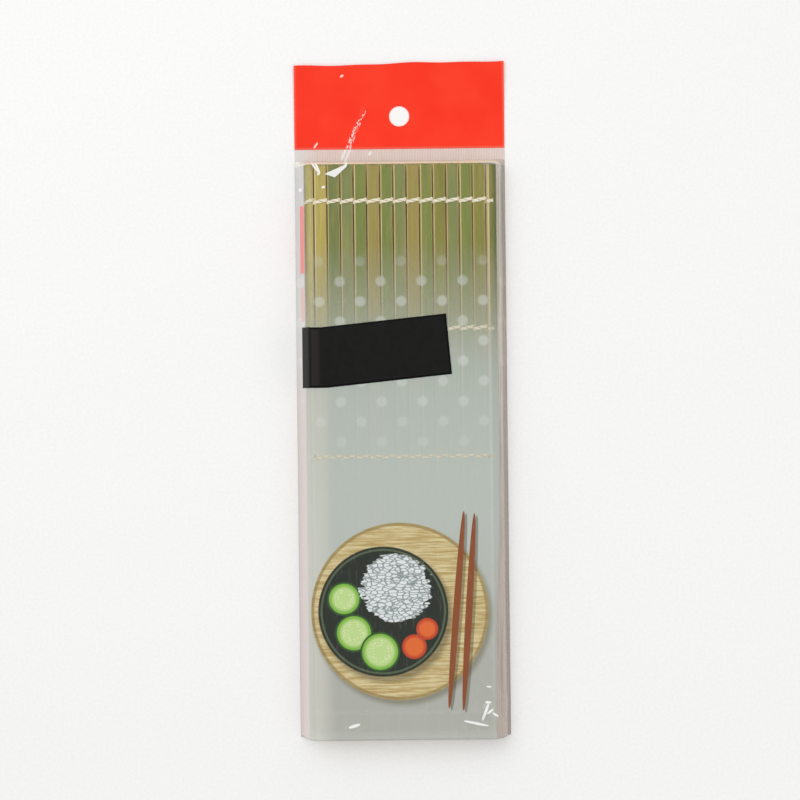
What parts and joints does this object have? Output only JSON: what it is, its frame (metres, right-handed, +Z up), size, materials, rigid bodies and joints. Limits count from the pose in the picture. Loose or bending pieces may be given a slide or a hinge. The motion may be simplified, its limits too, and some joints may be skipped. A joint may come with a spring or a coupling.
{
  "type": "sushi rolling mat in a header bag",
  "caption": "Square mat of split bamboo slats twined with cotton cord, folded in three flat layers inside a slim clear film bag with a punched header to hang it by.",
  "frame": {"origin": "middle of the bag's footprint, on the surface that the bag lies on", "axes": "+X across the slats, +Y along the slats towards the header, +Z up from the surface"},
  "size_m": [0.09, 0.289, 0.013],
  "materials": {
    "bamboo_green": "split bamboo, waxy green skin with pale cream sides",
    "bamboo_olive": "split bamboo, olive brown skin with pale cream sides",
    "bamboo_yellow": "split bamboo, yellow green skin with pale cream sides",
    "bamboo_grey": "split bamboo, grey green skin with pale cream sides",
    "cotton_cord": "undyed twisted cotton",
    "clear_film": "clear film with printed dots and a pale ground",
    "back_film": "clear film with a pale printed back",
    "seal_film": "welded film with fine ribs",
    "header_film": "orange red print on film",
    "label_film": "black print, satin"
  },
  "bodies": {
    "slat_01": {"slat_01": "bamboo_yellow"},
    "slat_02": {"slat_02": "bamboo_olive"},
    "slat_03": {"slat_03": "bamboo_grey"},
    "slat_04": {"slat_04": "bamboo_yellow"},
    "slat_05": {"slat_05": "bamboo_olive"},
    "slat_06": {"slat_06": "bamboo_grey"},
    "slat_07": {"slat_07": "bamboo_green"},
    "slat_08": {"slat_08": "bamboo_olive"},
    "slat_09": {"slat_09": "bamboo_grey"},
    "slat_10": {"slat_10": "bamboo_green"},
    "slat_11": {"slat_11": "bamboo_green"},
    "slat_12": {"slat_12": "bamboo_grey", "cord_1_front": "cotton_cord", "cord_1_back": "cotton_cord", "cord_2_front": "cotton_cord", "cord_2_back": "cotton_cord", "cord_3_front": "cotton_cord", "cord_3_back": "cotton_cord", "cord_4_front": "cotton_cord", "cord_4_back": "cotton_cord", "cord_5_front": "cotton_cord", "cord_5_back": "cotton_cord"},
    "slat_13": {"slat_13": "bamboo_green"},
    "slat_14": {"slat_14": "bamboo_green"},
    "slat_15": {"slat_15": "bamboo_yellow"},
    "slat_16": {"slat_16": "bamboo_green"},
    "slat_17": {"slat_17": "bamboo_green"},
    "slat_18": {"slat_18": "bamboo_yellow"},
    "slat_19": {"slat_19": "bamboo_olive"},
    "slat_20": {"slat_20": "bamboo_green"},
    "slat_21": {"slat_21": "bamboo_yellow"},
    "slat_22": {"slat_22": "bamboo_olive"},
    "slat_23": {"slat_23": "bamboo_grey"},
    "slat_24": {"slat_24": "bamboo_yellow"},
    "slat_25": {"slat_25": "bamboo_olive"},
    "slat_26": {"slat_26": "bamboo_grey"},
    "slat_27": {"slat_27": "bamboo_yellow"},
    "slat_28": {"slat_28": "bamboo_yellow"},
    "slat_29": {"slat_29": "bamboo_green"},
    "slat_30": {"slat_30": "bamboo_grey"},
    "slat_31": {"slat_31": "bamboo_olive"},
    "slat_32": {"slat_32": "bamboo_olive"},
    "slat_33": {"slat_33": "bamboo_green"},
    "slat_34": {"slat_34": "bamboo_green"},
    "slat_35": {"slat_35": "bamboo_yellow"},
    "slat_36": {"slat_36": "bamboo_green"},
    "slat_37": {"slat_37": "bamboo_green"},
    "slat_38": {"slat_38": "bamboo_green"},
    "slat_39": {"slat_39": "bamboo_olive"},
    "slat_40": {"slat_40": "bamboo_yellow"},
    "slat_41": {"slat_41": "bamboo_grey"},
    "bag": {"bag_back": "back_film", "bag_front": "clear_film", "heat_seal": "seal_film", "header": "header_film", "label": "label_film"}
  },
  "joints": [
    {"name": "bag_slide", "type": "slide", "parent": "slat_12", "child": "bag", "axis": [0, 1, 0], "range_m": [0, 0.26]},
    {"name": "right_fold_edge", "type": "hinge", "parent": "slat_12", "child": "slat_13", "pos_m": [0.03075, 0, 0.00248], "axis": [0, 1, 0], "range_deg": [0, 60]},
    {"name": "unfold", "type": "hinge", "parent": "slat_13", "child": "slat_14", "pos_m": [0.03347, 0, 0.00738], "axis": [0, 1, 0], "range_deg": [0, 122.99], "deforming": ["cord_1_front", "cord_1_back", "cord_2_front", "cord_2_back", "cord_3_front", "cord_3_back", "cord_4_front", "cord_4_back", "cord_5_front", "cord_5_back", "bag_front", "label"]},
    {"name": "bottom_curl_01", "type": "hinge", "parent": "slat_12", "child": "slat_01", "pos_m": [-0.00285, 0, 0.0024], "axis": [0, 1, 0], "range_deg": [0, 16.5]},
    {"name": "bottom_curl_02", "type": "hinge", "parent": "slat_12", "child": "slat_02", "pos_m": [-0.00005, 0, 0.0024], "axis": [0, 1, 0], "range_deg": [0, 15]},
    {"name": "bottom_curl_03", "type": "hinge", "parent": "slat_12", "child": "slat_03", "pos_m": [0.00275, 0, 0.0024], "axis": [0, 1, 0], "range_deg": [0, 13.5]},
    {"name": "bottom_curl_04", "type": "hinge", "parent": "slat_12", "child": "slat_04", "pos_m": [0.00555, 0, 0.0024], "axis": [0, 1, 0], "range_deg": [0, 12]},
    {"name": "bottom_curl_05", "type": "hinge", "parent": "slat_12", "child": "slat_05", "pos_m": [0.00835, 0, 0.0024], "axis": [0, 1, 0], "range_deg": [0, 10.5]},
    {"name": "bottom_curl_06", "type": "hinge", "parent": "slat_12", "child": "slat_06", "pos_m": [0.01115, 0, 0.0024], "axis": [0, 1, 0], "range_deg": [0, 9]},
    {"name": "bottom_curl_07", "type": "hinge", "parent": "slat_12", "child": "slat_07", "pos_m": [0.01395, 0, 0.0024], "axis": [0, 1, 0], "range_deg": [0, 7.5]},
    {"name": "bottom_curl_08", "type": "hinge", "parent": "slat_12", "child": "slat_08", "pos_m": [0.01675, 0, 0.0024], "axis": [0, 1, 0], "range_deg": [0, 6]},
    {"name": "bottom_curl_09", "type": "hinge", "parent": "slat_12", "child": "slat_09", "pos_m": [0.01955, 0, 0.0024], "axis": [0, 1, 0], "range_deg": [0, 4.5]},
    {"name": "bottom_curl_10", "type": "hinge", "parent": "slat_12", "child": "slat_10", "pos_m": [0.02235, 0, 0.0024], "axis": [0, 1, 0], "range_deg": [0, 3]},
    {"name": "bottom_curl_11", "type": "hinge", "parent": "slat_12", "child": "slat_11", "pos_m": [0.02515, 0, 0.0024], "axis": [0, 1, 0], "range_deg": [0, 1.5]},
    {"name": "middle_rock_15", "type": "hinge", "parent": "slat_14", "child": "slat_15", "pos_m": [0.02786, 0, 0.00726], "axis": [0, 1, 0], "range_deg": [0, 3]},
    {"name": "middle_rock_16", "type": "hinge", "parent": "slat_14", "child": "slat_16", "pos_m": [0.02227, 0, 0.00697], "axis": [0, -1, 0], "range_deg": [0, 3]},
    {"name": "middle_rock_17", "type": "hinge", "parent": "slat_14", "child": "slat_17", "pos_m": [0.01668, 0, 0.00668], "axis": [0, 1, 0], "range_deg": [0, 3]},
    {"name": "middle_rock_18", "type": "hinge", "parent": "slat_14", "child": "slat_18", "pos_m": [0.01109, 0, 0.00639], "axis": [0, -1, 0], "range_deg": [0, 3]},
    {"name": "middle_rock_19", "type": "hinge", "parent": "slat_14", "child": "slat_19", "pos_m": [0.00549, 0, 0.00609], "axis": [0, 1, 0], "range_deg": [0, 3]},
    {"name": "middle_rock_20", "type": "hinge", "parent": "slat_14", "child": "slat_20", "pos_m": [-0.0001, 0, 0.0058], "axis": [0, -1, 0], "range_deg": [0, 3]},
    {"name": "middle_rock_21", "type": "hinge", "parent": "slat_14", "child": "slat_21", "pos_m": [-0.00569, 0, 0.00551], "axis": [0, 1, 0], "range_deg": [0, 3]},
    {"name": "middle_rock_22", "type": "hinge", "parent": "slat_14", "child": "slat_22", "pos_m": [-0.01128, 0, 0.00522], "axis": [0, -1, 0], "range_deg": [0, 3]},
    {"name": "middle_rock_23", "type": "hinge", "parent": "slat_14", "child": "slat_23", "pos_m": [-0.01687, 0, 0.00492], "axis": [0, 1, 0], "range_deg": [0, 3]},
    {"name": "middle_rock_24", "type": "hinge", "parent": "slat_14", "child": "slat_24", "pos_m": [-0.02247, 0, 0.00463], "axis": [0, -1, 0], "range_deg": [0, 3]},
    {"name": "middle_rock_25", "type": "hinge", "parent": "slat_14", "child": "slat_25", "pos_m": [-0.02806, 0, 0.00434], "axis": [0, 1, 0], "range_deg": [0, 3]},
    {"name": "middle_rock_26", "type": "hinge", "parent": "slat_14", "child": "slat_26", "pos_m": [-0.03365, 0, 0.00405], "axis": [0, -1, 0], "range_deg": [0, 3]},
    {"name": "left_fold", "type": "hinge", "parent": "slat_14", "child": "slat_27", "pos_m": [-0.03933, 0, 0.00543], "axis": [0, -1, 0], "range_deg": [0, 122.99]},
    {"name": "left_fold_edge", "type": "hinge", "parent": "slat_27", "child": "slat_28", "pos_m": [-0.03662, 0, 0.01033], "axis": [0, -1, 0], "range_deg": [0, 60]},
    {"name": "top_roll_29", "type": "hinge", "parent": "slat_28", "child": "slat_29", "pos_m": [-0.03102, 0, 0.01191], "axis": [0, -1, 0], "range_deg": [0, 22]},
    {"name": "top_roll_30", "type": "hinge", "parent": "slat_29", "child": "slat_30", "pos_m": [-0.02542, 0, 0.01191], "axis": [0, -1, 0], "range_deg": [0, 22]},
    {"name": "top_roll_31", "type": "hinge", "parent": "slat_30", "child": "slat_31", "pos_m": [-0.01982, 0, 0.01191], "axis": [0, -1, 0], "range_deg": [0, 22]},
    {"name": "top_roll_32", "type": "hinge", "parent": "slat_31", "child": "slat_32", "pos_m": [-0.01422, 0, 0.01191], "axis": [0, -1, 0], "range_deg": [0, 22]},
    {"name": "top_roll_33", "type": "hinge", "parent": "slat_32", "child": "slat_33", "pos_m": [-0.00862, 0, 0.01191], "axis": [0, -1, 0], "range_deg": [0, 22]},
    {"name": "roll", "type": "hinge", "parent": "slat_33", "child": "slat_34", "pos_m": [-0.00302, 0, 0.01191], "axis": [0, -1, 0], "range_deg": [0, 22], "deforming": ["cord_1_front", "cord_1_back", "cord_2_front", "cord_2_back", "cord_3_front", "cord_3_back", "cord_4_front", "cord_4_back", "cord_5_front", "cord_5_back", "bag_front", "label"]},
    {"name": "top_roll_35", "type": "hinge", "parent": "slat_34", "child": "slat_35", "pos_m": [0.00258, 0, 0.01191], "axis": [0, -1, 0], "range_deg": [0, 22]},
    {"name": "top_roll_36", "type": "hinge", "parent": "slat_35", "child": "slat_36", "pos_m": [0.00818, 0, 0.01191], "axis": [0, -1, 0], "range_deg": [0, 22]},
    {"name": "top_roll_37", "type": "hinge", "parent": "slat_36", "child": "slat_37", "pos_m": [0.01378, 0, 0.01191], "axis": [0, -1, 0], "range_deg": [0, 22]},
    {"name": "top_roll_38", "type": "hinge", "parent": "slat_37", "child": "slat_38", "pos_m": [0.01938, 0, 0.01191], "axis": [0, -1, 0], "range_deg": [0, 22]},
    {"name": "top_roll_39", "type": "hinge", "parent": "slat_38", "child": "slat_39", "pos_m": [0.02498, 0, 0.01191], "axis": [0, -1, 0], "range_deg": [0, 22]},
    {"name": "top_roll_40", "type": "hinge", "parent": "slat_39", "child": "slat_40", "pos_m": [0.03058, 0, 0.01191], "axis": [0, -1, 0], "range_deg": [0, 22]},
    {"name": "top_roll_41", "type": "hinge", "parent": "slat_40", "child": "slat_41", "pos_m": [0.03618, 0, 0.01035], "axis": [0, -1, 0], "range_deg": [0, 65]}
  ],
  "couplings": [
    {"joint": "right_fold_edge", "follows": "unfold", "ratio": 0.48783},
    {"joint": "bottom_curl_01", "follows": "unfold", "ratio": 0.13415},
    {"joint": "bottom_curl_02", "follows": "unfold", "ratio": 0.12196},
    {"joint": "bottom_curl_03", "follows": "unfold", "ratio": 0.10976},
    {"joint": "bottom_curl_04", "follows": "unfold", "ratio": 0.097565},
    {"joint": "bottom_curl_05", "follows": "unfold", "ratio": 0.08537},
    {"joint": "bottom_curl_06", "follows": "unfold", "ratio": 0.073174},
    {"joint": "bottom_curl_07", "follows": "unfold", "ratio": 0.060978},
    {"joint": "bottom_curl_08", "follows": "unfold", "ratio": 0.048783},
    {"joint": "bottom_curl_09", "follows": "unfold", "ratio": 0.036587},
    {"joint": "bottom_curl_10", "follows": "unfold", "ratio": 0.024391},
    {"joint": "bottom_curl_11", "follows": "unfold", "ratio": 0.012196},
    {"joint": "middle_rock_15", "follows": "unfold", "ratio": 0.024391},
    {"joint": "middle_rock_16", "follows": "unfold", "ratio": 0.024391},
    {"joint": "middle_rock_17", "follows": "unfold", "ratio": 0.024391},
    {"joint": "middle_rock_18", "follows": "unfold", "ratio": 0.024391},
    {"joint": "middle_rock_19", "follows": "unfold", "ratio": 0.024391},
    {"joint": "middle_rock_20", "follows": "unfold", "ratio": 0.024391},
    {"joint": "middle_rock_21", "follows": "unfold", "ratio": 0.024391},
    {"joint": "middle_rock_22", "follows": "unfold", "ratio": 0.024391},
    {"joint": "middle_rock_23", "follows": "unfold", "ratio": 0.024391},
    {"joint": "middle_rock_24", "follows": "unfold", "ratio": 0.024391},
    {"joint": "middle_rock_25", "follows": "unfold", "ratio": 0.024391},
    {"joint": "middle_rock_26", "follows": "unfold", "ratio": 0.024391},
    {"joint": "left_fold", "follows": "unfold", "ratio": 1},
    {"joint": "left_fold_edge", "follows": "unfold", "ratio": 0.48783},
    {"joint": "top_roll_29", "follows": "roll", "ratio": 1},
    {"joint": "top_roll_30", "follows": "roll", "ratio": 1},
    {"joint": "top_roll_31", "follows": "roll", "ratio": 1},
    {"joint": "top_roll_32", "follows": "roll", "ratio": 1},
    {"joint": "top_roll_33", "follows": "roll", "ratio": 1},
    {"joint": "top_roll_35", "follows": "roll", "ratio": 1},
    {"joint": "top_roll_36", "follows": "roll", "ratio": 1},
    {"joint": "top_roll_37", "follows": "roll", "ratio": 1},
    {"joint": "top_roll_38", "follows": "roll", "ratio": 1},
    {"joint": "top_roll_39", "follows": "roll", "ratio": 1},
    {"joint": "top_roll_40", "follows": "roll", "ratio": 1},
    {"joint": "top_roll_41", "follows": "roll", "ratio": 2.9545}
  ]
}
